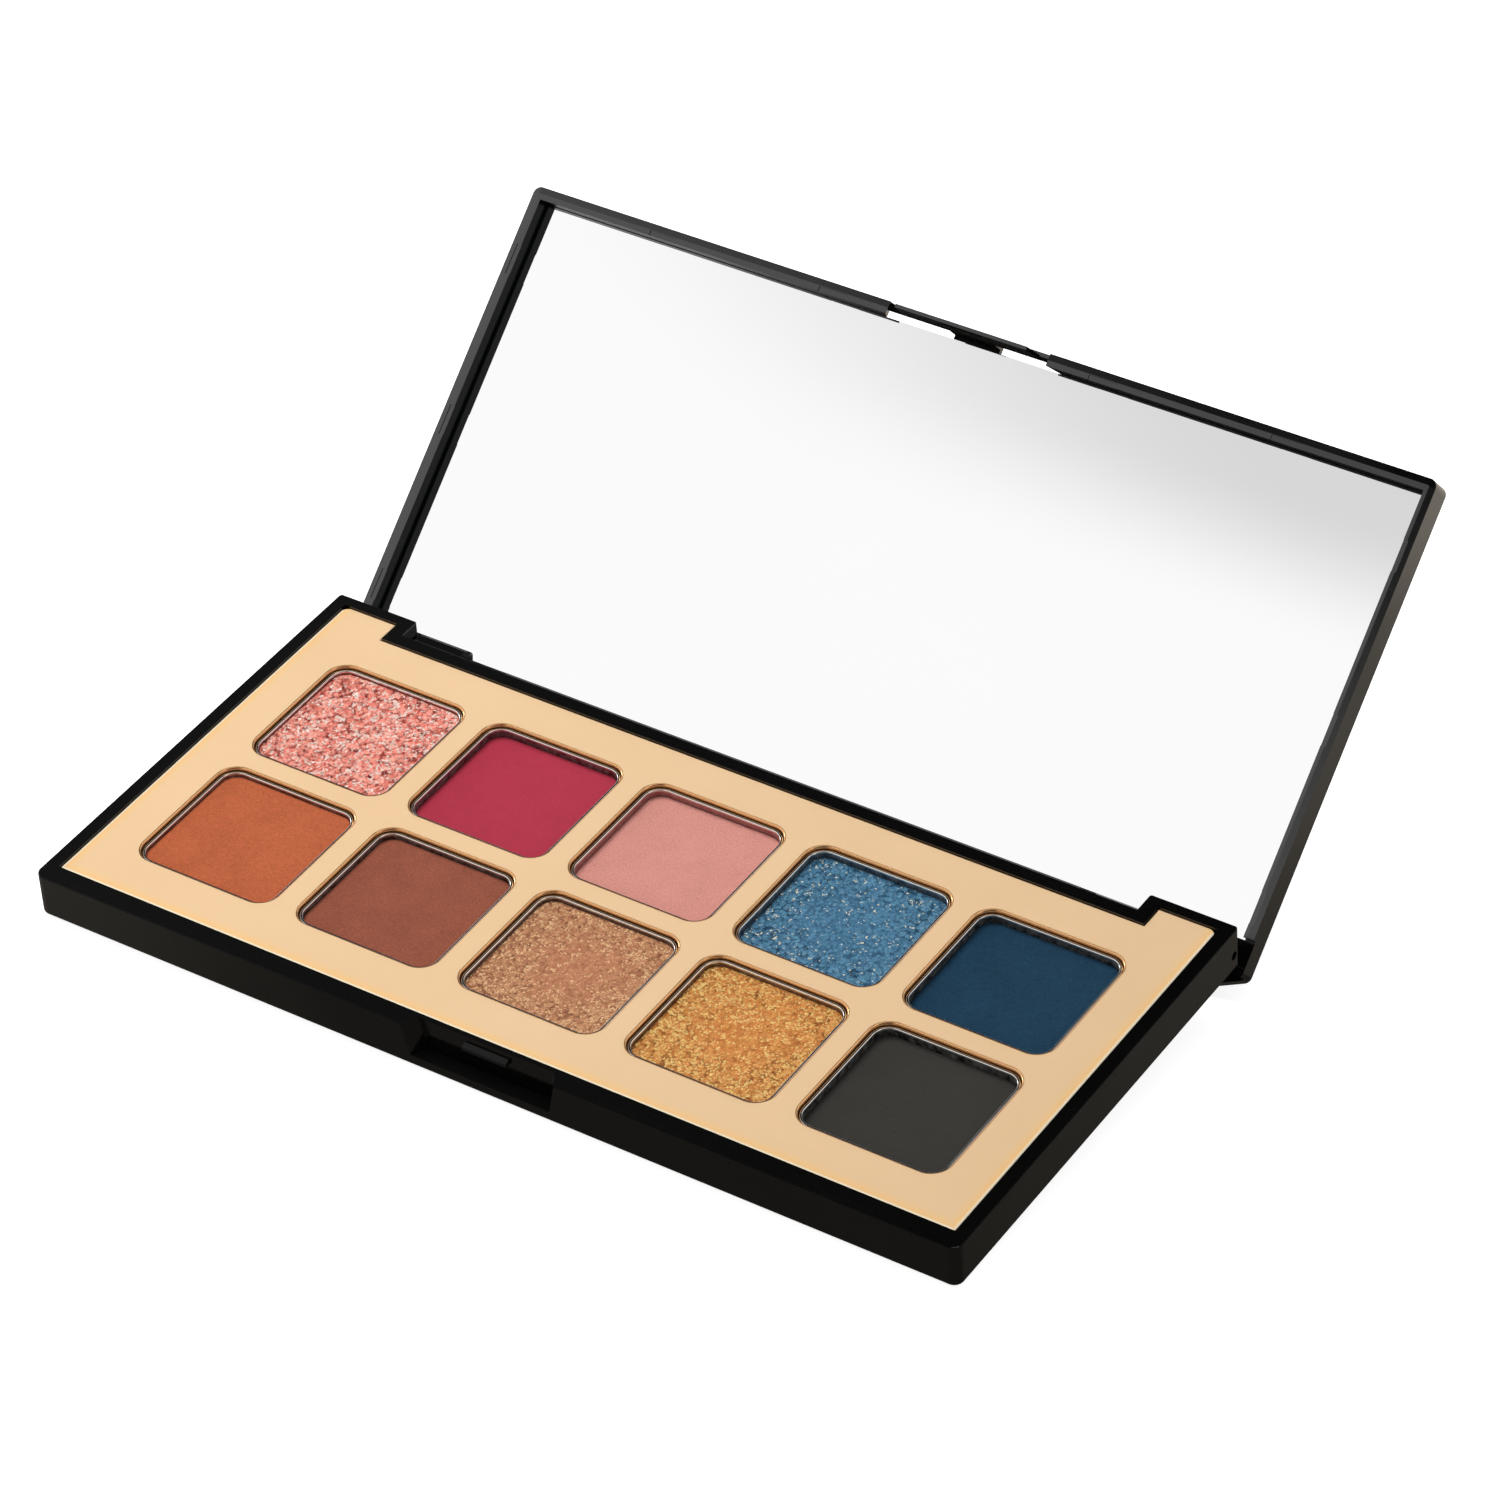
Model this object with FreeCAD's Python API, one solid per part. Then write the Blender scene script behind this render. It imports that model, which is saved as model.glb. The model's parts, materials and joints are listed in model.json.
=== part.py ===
import FreeCAD, Part
import math
import os

# Ten-shade eyeshadow palette: a shallow base with a plated insert plate, ten tin pans of pressed
# powder, and a mirrored lid on two hinge pins. It is stored open, standing on the front edge of
# its base and the back spine of its lid.
#
# Every piece is drawn with the palette closed: X to the right, Y to the back, Z up, and the origin
# at the centre of the base's underside. place_lid() then opens the lid, and both place_lid() and
# place_base() tip the whole palette back onto its two resting edges.

V = FreeCAD.Vector
X_AXIS = V(1, 0, 0)

# Base shell
WIDTH = 150.0
BASE_FRONT = -36.1
BASE_BACK = 36.1
BASE_HEIGHT = 6.95
BASE_FLOOR = 1.2
CORNER_R = 1.5
BACK_CORNER_R = 0.5
EDGE_R = 0.6            # outer edges that the palette stands on
TOP_EDGE_R = 0.12
EAR_INNER_X = 61.3      # the two hinge ears are the base's back corners
RECESS_Y = 32.55        # back face of the base between the ears

# Insert plate and the pocket it drops into
PLATE_HALF_WIDTH = 72.9
PLATE_FRONT = -33.05
PLATE_BACK = 30.4
PLATE_EAR_INNER_X = 63.6
PLATE_EAR_BACK = 34.3
PLATE_THICKNESS = 1.4
PLATE_TOP = 6.75
PLATE_GAP = 0.08
PLATE_BORDER_R = 0.3
PLATE_CORNER_R = 0.4
PLATE_EAR_R = 1.2
OPENING_EDGE_R = 0.25

# Grid of pans
COLUMNS = 5
PITCH_X = 27.15
PITCH_Y = 26.3
GRID_Y = -1.1           # centre of the grid
OPENING_W = 23.2
OPENING_D = 22.7
OPENING_R = 3.0
PAN_GAP = 0.2           # between a pan and the plate's opening
WELL_GAP = 0.3          # between a pan and the ribs of its well
RIB = 0.8
PAN_WALL = 0.4
PAN_FLOOR = 0.3
GLUE = 0.1
PAN_TOP = 6.25
POWDER_EDGE_R = 0.25    # pressed cakes are a little rounded along their edge
# Name of each shade and the height that its pan is filled to, back row first, left to right.
SHADES = (("rose_foil", 5.85), ("raspberry", 5.2), ("dusty_pink", 5.3), ("steel_blue", 5.35),
          ("navy", 5.2), ("terracotta", 5.75), ("brown", 5.55), ("bronze", 5.65), ("gold", 5.6),
          ("charcoal", 5.15))

# Thumb recess and catch in the base's front wall
NOTCH_HALF_FRONT = 13.3
NOTCH_HALF_BACK = 11.2
NOTCH_TAPER = 1.3       # each end's lean from the top down to the lip
NOTCH_BACK = -33.8
NOTCH_LIP = 1.8
CATCH_HALF = 3.6
CATCH_FRONT = -34.55
CATCH_LOW = 4.95
CATCH_TOP = 5.9

# Hinge
PIVOT_Y = 34.85
PIVOT_Z = 2.71
OPEN_ANGLE = 139.3
PIN_R = 0.62
EAR_HOLE_R = 0.65
KNUCKLE_BORE_R = 0.70
KNUCKLE_R_LEFT = 2.35
KNUCKLE_FLAT = 2.0      # the left knuckle has a flat that is level when the lid is open
KNUCKLE_R_RIGHT = 1.45
KNUCKLE_INNER_X = 53.0
KNUCKLE_OUTER_X = 61.0
KNUCKLE_RELIEF = 0.3
PIN_INNER_X = 53.6
PIN_OUTER_X = 73.6

# Lid shell, as closed
LID_FRONT = -36.0
LID_SIDE_BACK = 37.0
SPINE_BACK = 39.6       # outer face of the lid's back spine
SPINE_HALF = 69.3
SPINE_WALL = 1.3
SPINE_LOW = 3.05        # this edge meets the base's lower back edge when the lid is open
SPINE_LOW_FLAT = 0.45   # width of the spine's low edge, before its bevel starts
SPINE_BEVEL = 0.85
SPINE_SHORT_LOW = 9.6   # the spine's low edge beside the ears
LID_LOW = 7.05
LID_TOP = 12.1
LID_SKIN = 0.9
RIM_SIDE = 1.58
RIM_FRONT = 1.85
RIM_SLOPE_WIDTH = 1.0   # the outer part of the rim's face falls away a little
RIM_SLOPE_DROP = 0.06
SIDE_RIM_END = 31.7
SIDE_RIM_STEP = 1.0
BACK_RIM_Y = 33.05      # inner face of the low wall behind the mirror
BACK_RIM_THICK = 1.2
BACK_RIM_HALF = 48.35
MARK_LENGTH = 4.7
MARK_WIDTH = 0.75
MARK_DEPTH = 0.12
MARKS_SIDE_Y = (27.3, 1.2, -24.5)
MARKS_FRONT_X = (-51.8, -22.5, 22.5, 51.8)

# Latch tongue on the lid's free edge
TONGUE_HALF = 11.4
TONGUE_TIP_HALF = 10.9  # its ends lean inwards, as the ends of the thumb recess do
TONGUE_FRONT = -35.45
TONGUE_BACK = -34.92
TONGUE_LOW = 4.2
TONGUE_BAR_TOP = 8.1    # beside its stem the tongue is only a bar, with a window above it
TONGUE_STEM_HALF = 3.8
TONGUE_SLOT_HALF = 13.3
TONGUE_SLOT_FLARE = 2.2 # each end of the slot leans outwards by this up to the skin
TONGUE_WALL_BACK = -35.4    # the lid's outer wall goes on in front of the slot
TONGUE_WALL_LOW = 8.5
TONGUE_SLOT_BACK = -34.1
BARB_DEPTH = 0.2
BARB_LOW = 4.3
BARB_TOP = 4.65

# Mirror
MIRROR_FACE = 9.55      # height of its reflecting face, as closed
MIRROR_GLASS = 1.0
MIRROR_GAP = 0.1
MIRROR_BACK = 32.9
TAPE_COLUMNS = (-54.0, -18.0, 18.0, 54.0)
TAPE_ROWS = (-20.0, 18.0)
TAPE_W = 24.0
TAPE_D = 14.0

HALF = WIDTH / 2
LID_FLOOR = LID_TOP - LID_SKIN
PLATE_SEAT = PLATE_TOP - PLATE_THICKNESS
PAN_W = OPENING_W - 2 * PAN_GAP
PAN_D = OPENING_D - 2 * PAN_GAP
PAN_R = OPENING_R - PAN_GAP
PAN_BOTTOM = BASE_FLOOR + GLUE


def block(x0, x1, y0, y1, z0, z1):
    return Part.makeBox(x1 - x0, y1 - y0, z1 - z0, V(x0, y0, z0))


def prism(points, z0, z1):
    corners = [V(x, y, z0) for x, y in points]
    face = Part.Face(Part.makePolygon(corners + corners[:1]))
    return face.extrude(V(0, 0, z1 - z0))


def side_prism(points, x0, x1):
    corners = [V(x0, y, z) for y, z in points]
    face = Part.Face(Part.makePolygon(corners + corners[:1]))
    return face.extrude(V(x1 - x0, 0, 0))


def front_prism(points, y0, y1):
    corners = [V(x, y0, z) for x, z in points]
    face = Part.Face(Part.makePolygon(corners + corners[:1]))
    return face.extrude(V(0, y1 - y0, 0))


def tapered(low_points, high_points, z0, z1):
    wires = []
    for points, z in ((low_points, z0), (high_points, z1)):
        corners = [V(x, y, z) for x, y in points]
        wires.append(Part.makePolygon(corners + corners[:1]))
    return Part.makeLoft(wires, True, True)


def rod(r, x0, x1):
    return Part.makeCylinder(r, x1 - x0, V(x0, PIVOT_Y, PIVOT_Z), X_AXIS)


def middle(edge):
    return edge.valueAt((edge.FirstParameter + edge.LastParameter) / 2)


def upright(edge):
    ends = edge.Vertexes
    if len(ends) != 2:
        return False
    a = ends[0].Point
    b = ends[1].Point
    return abs(a.x - b.x) < 1e-6 and abs(a.y - b.y) < 1e-6


def round_corners(shape, r, wanted):
    edges = [e for e in shape.Edges if upright(e) and wanted(middle(e))]
    return shape.makeFillet(r, edges)


def round_level(shape, r, z, wanted=lambda p: True):
    edges = []
    for e in shape.Edges:
        level = all(abs(v.Point.z - z) < 1e-6 for v in e.Vertexes)
        if level and abs(middle(e).z - z) < 1e-6 and wanted(middle(e)):
            edges.append(e)
    return shape.makeFillet(r, edges)


def rounded_block(w, d, r, cx, cy, z0, z1):
    shape = block(cx - w / 2, cx + w / 2, cy - d / 2, cy + d / 2, z0, z1)
    return round_corners(shape, r, lambda p: True)


def opened(y, z):
    a = math.radians(OPEN_ANGLE)
    dy = y - PIVOT_Y
    dz = z - PIVOT_Z
    return (PIVOT_Y + dy * math.cos(a) + dz * math.sin(a),
            PIVOT_Z - dy * math.sin(a) + dz * math.cos(a))


# The palette stands on the rounded front edge of the base and the rounded back edge of the lid.
# Both have the radius EDGE_R, so the line through their centres is parallel to the ground.
FRONT_FOOT = (BASE_FRONT + EDGE_R, EDGE_R)
BACK_FOOT = opened(SPINE_BACK - EDGE_R, LID_TOP - EDGE_R)
REST_TILT = math.degrees(math.atan2(FRONT_FOOT[1] - BACK_FOOT[1], BACK_FOOT[0] - FRONT_FOOT[0]))


def tipped(y, z):
    t = math.radians(REST_TILT)
    return (y * math.cos(t) - z * math.sin(t), y * math.sin(t) + z * math.cos(t))


# Middle of the standing palette, front to back, and the height of the ground under it.
FRONT_MOST = tipped(BASE_FRONT + TOP_EDGE_R, BASE_HEIGHT - TOP_EDGE_R)[0] - TOP_EDGE_R
BACK_MOST = tipped(*opened(LID_FRONT + EDGE_R, LID_TOP - EDGE_R))[0] + EDGE_R
MIDDLE_Y = (FRONT_MOST + BACK_MOST) / 2
GROUND_Z = tipped(*FRONT_FOOT)[1] - EDGE_R


def place_base(shape):
    shape = shape.copy()
    shape.rotate(V(0, 0, 0), X_AXIS, REST_TILT)
    shape.translate(V(0, -MIDDLE_Y, -GROUND_Z))
    return shape


def place_lid(shape):
    shape = shape.copy()
    shape.rotate(V(0, PIVOT_Y, PIVOT_Z), X_AXIS, -OPEN_ANGLE)
    return place_base(shape)


def pan_centres():
    places = []
    for row in (0.5, -0.5):
        for i in range(COLUMNS):
            places.append(((i - (COLUMNS - 1) / 2) * PITCH_X, GRID_Y + row * PITCH_Y))
    return places


def plate_outline(gap):
    w = PLATE_HALF_WIDTH - gap
    e = PLATE_EAR_INNER_X + gap
    front = PLATE_FRONT + gap
    back = PLATE_BACK - gap
    ear = PLATE_EAR_BACK - gap
    return [(-w, front), (w, front), (w, ear), (e, ear), (e, back), (-e, back), (-e, ear), (-w, ear)]


def base_shell():
    e = EAR_INNER_X
    outline = [(-HALF, BASE_FRONT), (HALF, BASE_FRONT), (HALF, BASE_BACK), (e, BASE_BACK),
               (e, RECESS_Y), (-e, RECESS_Y), (-e, BASE_BACK), (-HALF, BASE_BACK)]
    shape = prism(outline, 0, BASE_HEIGHT)
    shape = round_corners(shape, CORNER_R, lambda p: abs(p.x) > HALF - 1 and p.y < 0)
    shape = round_corners(shape, BACK_CORNER_R, lambda p: abs(p.x) > HALF - 1 and p.y > 0)
    shape = round_corners(shape, 0.4, lambda p: abs(p.x) < e + 1 and p.y > RECESS_Y + 1)
    shape = round_level(shape, EDGE_R, 0)
    shape = round_level(shape, TOP_EDGE_R, BASE_HEIGHT)
    # Pocket for the insert plate, then a well with thin ribs around it for each pan.
    shape = shape.cut(prism(plate_outline(0), PLATE_SEAT, BASE_HEIGHT + 1))
    well_w = PAN_W + 2 * WELL_GAP
    well_d = PAN_D + 2 * WELL_GAP
    cuts = []
    for cx, cy in pan_centres():
        cuts.append(rounded_block(well_w, well_d, PAN_R + WELL_GAP, cx, cy, BASE_FLOOR, BASE_HEIGHT))
    # Hollows between and around the wells keep every wall thin.
    between_x = PITCH_X - well_w - 2 * RIB
    between_y = PITCH_Y - well_d - 2 * RIB
    for cx, cy in pan_centres():
        if cx < PITCH_X * 1.5:
            x = cx + PITCH_X / 2
            cuts.append(block(x - between_x / 2, x + between_x / 2, cy - well_d / 2 + 2,
                              cy + well_d / 2 - 2, BASE_FLOOR, PLATE_SEAT + 0.1))
        if cy > GRID_Y:
            cuts.append(block(cx - well_w / 2 + 2, cx + well_w / 2 - 2, GRID_Y - between_y / 2,
                              GRID_Y + between_y / 2, BASE_FLOOR, PLATE_SEAT + 0.1))
    grid_half = 2 * PITCH_X + well_w / 2 + RIB
    grid_back = GRID_Y + PITCH_Y / 2 + well_d / 2 + RIB
    grid_front = GRID_Y - PITCH_Y / 2 - well_d / 2 - RIB
    outer_x = PLATE_HALF_WIDTH - 1.2
    for side in (-1, 1):
        xs = sorted((side * grid_half, side * outer_x))
        cuts.append(block(xs[0], xs[1], PLATE_FRONT + 1.2, PLATE_BACK - 1.2, BASE_FLOOR, PLATE_SEAT + 0.1))
    cuts.append(block(-grid_half + 1, grid_half - 1, grid_back, PLATE_BACK - 1.2,
                      BASE_FLOOR, PLATE_SEAT + 0.1))
    cuts.append(block(-grid_half + 1, grid_half - 1, PLATE_FRONT + 1.2, grid_front,
                      BASE_FLOOR, PLATE_SEAT + 0.1))
    # Thumb recess: its ends lean inwards towards the back and towards the lip.
    t = NOTCH_TAPER
    low = [(-NOTCH_HALF_FRONT + t, BASE_FRONT - 1), (NOTCH_HALF_FRONT - t, BASE_FRONT - 1),
           (NOTCH_HALF_BACK - t, NOTCH_BACK), (-NOTCH_HALF_BACK + t, NOTCH_BACK)]
    high = [(-NOTCH_HALF_FRONT, BASE_FRONT - 1), (NOTCH_HALF_FRONT, BASE_FRONT - 1),
            (NOTCH_HALF_BACK, NOTCH_BACK), (-NOTCH_HALF_BACK, NOTCH_BACK)]
    cuts.append(tapered(low, high, NOTCH_LIP, BASE_HEIGHT + 0.5))
    # Pin holes through the ears, and room for the lid's knuckles in front of the pins.
    for side in (-1, 1):
        xs = sorted((side * EAR_INNER_X, side * (HALF + 1)))
        cuts.append(rod(EAR_HOLE_R, xs[0], xs[1]))
    cuts.append(rod(KNUCKLE_R_LEFT + KNUCKLE_RELIEF, -EAR_INNER_X, -KNUCKLE_INNER_X + KNUCKLE_RELIEF))
    shape = shape.cut(Part.makeCompound(cuts))
    catch = side_prism([(NOTCH_BACK + 0.3, CATCH_LOW), (CATCH_FRONT, CATCH_LOW),
                        (CATCH_FRONT, CATCH_TOP - 0.45), (NOTCH_BACK + 0.1, CATCH_TOP),
                        (NOTCH_BACK + 0.3, CATCH_TOP)], -CATCH_HALF, CATCH_HALF)
    return shape.fuse(catch).removeSplitter()


def insert_plate():
    shape = prism(plate_outline(PLATE_GAP), PLATE_SEAT, PLATE_TOP)
    shape = round_corners(shape, PLATE_CORNER_R, lambda p: abs(p.x) > PLATE_HALF_WIDTH - 1 and p.y < 0)
    shape = round_corners(shape, PLATE_EAR_R, lambda p: abs(p.x) > PLATE_HALF_WIDTH - 1 and p.y > 0)
    shape = round_level(shape, PLATE_BORDER_R, PLATE_TOP)
    for cx, cy in pan_centres():
        shape = shape.cut(rounded_block(OPENING_W, OPENING_D, OPENING_R, cx, cy, 0, 10))
    inner = PLATE_HALF_WIDTH - 3
    shape = round_level(shape, OPENING_EDGE_R, PLATE_TOP,
                        lambda p: abs(p.x) < inner and PLATE_FRONT + 2 < p.y < PLATE_BACK - 2)
    return shape


def pan(cx, cy):
    outer = rounded_block(PAN_W, PAN_D, PAN_R, cx, cy, PAN_BOTTOM, PAN_TOP)
    outer = round_level(outer, 0.25, PAN_BOTTOM)
    inner = rounded_block(PAN_W - 2 * PAN_WALL, PAN_D - 2 * PAN_WALL, PAN_R - PAN_WALL,
                          cx, cy, PAN_BOTTOM + PAN_FLOOR, PAN_TOP + 1)
    shape = outer.cut(inner)
    return round_level(shape, 0.12, PAN_TOP)


def powder(cx, cy, top):
    shape = rounded_block(PAN_W - 2 * PAN_WALL, PAN_D - 2 * PAN_WALL, PAN_R - PAN_WALL,
                          cx, cy, PAN_BOTTOM + PAN_FLOOR, top)
    return round_level(shape, POWDER_EDGE_R, top)


def pan_glue():
    dots = []
    for cx, cy in pan_centres():
        dots.append(Part.makeCylinder(5.0, GLUE, V(cx, cy, BASE_FLOOR)))
    return Part.makeCompound(dots)


def lid_outline():
    return [(-HALF, LID_FRONT), (HALF, LID_FRONT), (HALF, LID_SIDE_BACK), (SPINE_HALF, SPINE_BACK),
            (-SPINE_HALF, SPINE_BACK), (-HALF, LID_SIDE_BACK)]


def lid_cavity_outline():
    w = HALF - RIM_SIDE
    front = LID_FRONT + RIM_FRONT
    back = SPINE_BACK - SPINE_WALL
    return [(-w, front), (w, front), (w, LID_SIDE_BACK - SPINE_WALL * 0.6),
            (SPINE_HALF - 0.6, back), (-SPINE_HALF + 0.6, back), (-w, LID_SIDE_BACK - SPINE_WALL * 0.6)]


def lid_shell():
    shape = prism(lid_outline(), LID_LOW, LID_TOP)
    shape = round_corners(shape, 1.2, lambda p: abs(p.x) > HALF - 1)
    shape = round_corners(shape, 3.0, lambda p: abs(p.x) < HALF - 1)
    shape = round_level(shape, EDGE_R, LID_TOP)
    low_edges = [e for e in shape.Edges if all(abs(v.Point.z - LID_LOW) < 1e-6 for v in e.Vertexes)]
    shape = shape.makeChamfer(RIM_SLOPE_DROP, RIM_SLOPE_WIDTH, low_edges)
    # Tray for the mirror. Its floor is the lid's outer skin.
    shape = shape.cut(prism(lid_cavity_outline(), LID_LOW - 0.01, LID_FLOOR))
    adds = []
    # Low wall behind the mirror: full height in the middle, only a ledge towards the sides.
    adds.append(block(-BACK_RIM_HALF, BACK_RIM_HALF, BACK_RIM_Y, BACK_RIM_Y + BACK_RIM_THICK,
                      LID_LOW, LID_FLOOR + 0.1))
    adds.append(block(-HALF + RIM_SIDE - 0.3, HALF - RIM_SIDE + 0.3, BACK_RIM_Y, BACK_RIM_Y + 0.8,
                      MIRROR_FACE + 0.2, LID_FLOOR + 0.1))
    # Spine that covers the hinge between the ears, and the two knuckles that hang from it.
    span = EAR_INNER_X - 0.4
    inner = SPINE_BACK - SPINE_WALL
    adds.append(side_prism([(inner, SPINE_LOW), (inner + SPINE_LOW_FLAT, SPINE_LOW),
                            (SPINE_BACK, SPINE_LOW + SPINE_BEVEL), (SPINE_BACK, LID_LOW + 1),
                            (inner, LID_LOW + 1)], -span, span))
    for side, r in ((-1, KNUCKLE_R_LEFT), (1, KNUCKLE_R_RIGHT)):
        xs = sorted((side * KNUCKLE_INNER_X, side * KNUCKLE_OUTER_X))
        knuckle = rod(r, xs[0], xs[1])
        flat = block(xs[0] - 1, xs[1] + 1, PIVOT_Y - 3, PIVOT_Y + 3, PIVOT_Z + KNUCKLE_FLAT, PIVOT_Z + 4)
        flat.rotate(V(0, PIVOT_Y, PIVOT_Z), X_AXIS, OPEN_ANGLE)
        adds.append(knuckle.cut(flat))
        front = PIVOT_Y - 0.4 * r
        adds.append(side_prism([(front, PIVOT_Z + 0.5 * r), (PIVOT_Y + 0.75 * r, PIVOT_Z + 0.45 * r),
                                (SPINE_BACK - 0.6, SPINE_LOW + 0.6), (SPINE_BACK - 0.6, LID_FLOOR + 0.1),
                                (front, LID_FLOOR + 0.1)], xs[0], xs[1]))
    for x in (-36.0, -12.0, 12.0, 36.0):
        adds.append(block(x - 0.5, x + 0.5, BACK_RIM_Y + 0.5, SPINE_BACK - 0.6, 8.2, LID_FLOOR + 0.1))
    shape = shape.fuse(adds)
    cuts = []
    # The side walls step up behind the mirror, and the spine is short beside the ears.
    for side in (-1, 1):
        xs = sorted((side * (EAR_INNER_X - 0.4), side * (HALF + 1)))
        cuts.append(block(xs[0], xs[1], SIDE_RIM_END, SPINE_BACK + 1, LID_LOW - 1, LID_LOW + SIDE_RIM_STEP))
        cuts.append(block(xs[0], xs[1], LID_SIDE_BACK - 0.1, SPINE_BACK + 1, LID_LOW - 1, SPINE_SHORT_LOW))
        xs = sorted((side * (KNUCKLE_INNER_X - 0.5), side * (KNUCKLE_OUTER_X + 0.5)))
        cuts.append(rod(KNUCKLE_BORE_R, xs[0], xs[1]))
        # Shallow pockets along the rim.
        for y in MARKS_SIDE_Y:
            xs = sorted((side * (HALF - RIM_SIDE), side * (HALF - RIM_SIDE + MARK_WIDTH)))
            cuts.append(block(xs[0], xs[1], y - MARK_LENGTH / 2, y + MARK_LENGTH / 2,
                              LID_LOW - 1, LID_LOW + MARK_DEPTH))
    for x in MARKS_FRONT_X:
        cuts.append(block(x - MARK_LENGTH / 2, x + MARK_LENGTH / 2,
                          LID_FRONT + RIM_FRONT - MARK_WIDTH, LID_FRONT + RIM_FRONT,
                          LID_LOW - 1, LID_LOW + MARK_DEPTH))
    # Notch in the rim for the latch tongue, and behind it a slot out through the skin.
    cuts.append(block(-TONGUE_SLOT_HALF, TONGUE_SLOT_HALF, LID_FRONT - 1, TONGUE_SLOT_BACK,
                      LID_LOW - 1, TONGUE_WALL_LOW))
    end = TONGUE_SLOT_HALF
    wide = end + TONGUE_SLOT_FLARE
    cuts.append(front_prism([(-end, LID_LOW - 1), (end, LID_LOW - 1), (end, LID_LOW), (wide, LID_TOP + 0.1),
                             (-wide, LID_TOP + 0.1), (-end, LID_LOW)], TONGUE_WALL_BACK, TONGUE_SLOT_BACK))
    shape = shape.cut(Part.makeCompound(cuts))
    half = TONGUE_HALF
    tip = TONGUE_TIP_HALF
    stem = TONGUE_STEM_HALF
    bar = TONGUE_BAR_TOP
    top = LID_TOP - 0.1
    tongue = front_prism([(-stem, top), (-stem, bar), (-half, bar), (-half, LID_LOW), (-tip, TONGUE_LOW),
                          (tip, TONGUE_LOW), (half, LID_LOW), (half, bar), (stem, bar), (stem, top)],
                         TONGUE_FRONT, TONGUE_BACK)
    web = block(-stem, stem, TONGUE_FRONT, TONGUE_SLOT_BACK + 0.2, LID_FLOOR, top)
    barb = side_prism([(TONGUE_BACK - 0.2, BARB_LOW), (TONGUE_BACK, BARB_LOW),
                       (TONGUE_BACK + BARB_DEPTH, BARB_TOP), (TONGUE_BACK, BARB_TOP + 0.1),
                       (TONGUE_BACK - 0.2, BARB_TOP + 0.1)], -CATCH_HALF + 0.2, CATCH_HALF - 0.2)
    return shape.fuse([tongue, web, barb]).removeSplitter()


def mirror():
    w = HALF - RIM_SIDE - MIRROR_GAP
    front = LID_FRONT + RIM_FRONT + MIRROR_GAP
    shape = block(-w, w, front, MIRROR_BACK, MIRROR_FACE, MIRROR_FACE + MIRROR_GLASS)
    return round_corners(shape, 0.6, lambda p: True)


def mirror_tape():
    pads = []
    for x in TAPE_COLUMNS:
        for y in TAPE_ROWS:
            pads.append(block(x - TAPE_W / 2, x + TAPE_W / 2, y - TAPE_D / 2, y + TAPE_D / 2,
                              MIRROR_FACE + MIRROR_GLASS, LID_FLOOR))
    return Part.makeCompound(pads)


def save(name, shape):
    solids = shape.Solids
    print(name, "solids", len(solids), "valid", shape.isValid(), "mm3", round(shape.Volume, 1))
    shape.exportStep("parts/" + name + ".step")


os.makedirs("parts", exist_ok=True)

save("base_shell", place_base(base_shell()))
save("insert_plate", place_base(insert_plate()))
for number, ((shade, fill), centre) in enumerate(zip(SHADES, pan_centres()), 1):
    save("pan_%02d" % number, place_base(pan(*centre)))
    save("powder_%02d_%s" % (number, shade), place_base(powder(*centre, fill)))
save("pan_glue", place_base(pan_glue()))
save("hinge_pin_left", place_base(rod(PIN_R, -PIN_OUTER_X, -PIN_INNER_X)))
save("hinge_pin_right", place_base(rod(PIN_R, PIN_INNER_X, PIN_OUTER_X)))
save("lid_shell", place_lid(lid_shell()))
save("mirror", place_lid(mirror()))
save("mirror_tape", place_lid(mirror_tape()))

print("tilt", round(REST_TILT, 4), "middle y", round(MIDDLE_Y, 4), "ground z", round(GROUND_Z, 4))
hinge = tipped(PIVOT_Y, PIVOT_Z)
print("hinge at", round(hinge[0] - MIDDLE_Y, 4), round(hinge[1] - GROUND_Z, 4))
under = tipped(0, 0)
print("underside centre at", round(under[0] - MIDDLE_Y, 4), round(under[1] - GROUND_Z, 4))
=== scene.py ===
import json
import math

import bpy
import numpy as np
from mathutils import Matrix, Vector


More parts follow.
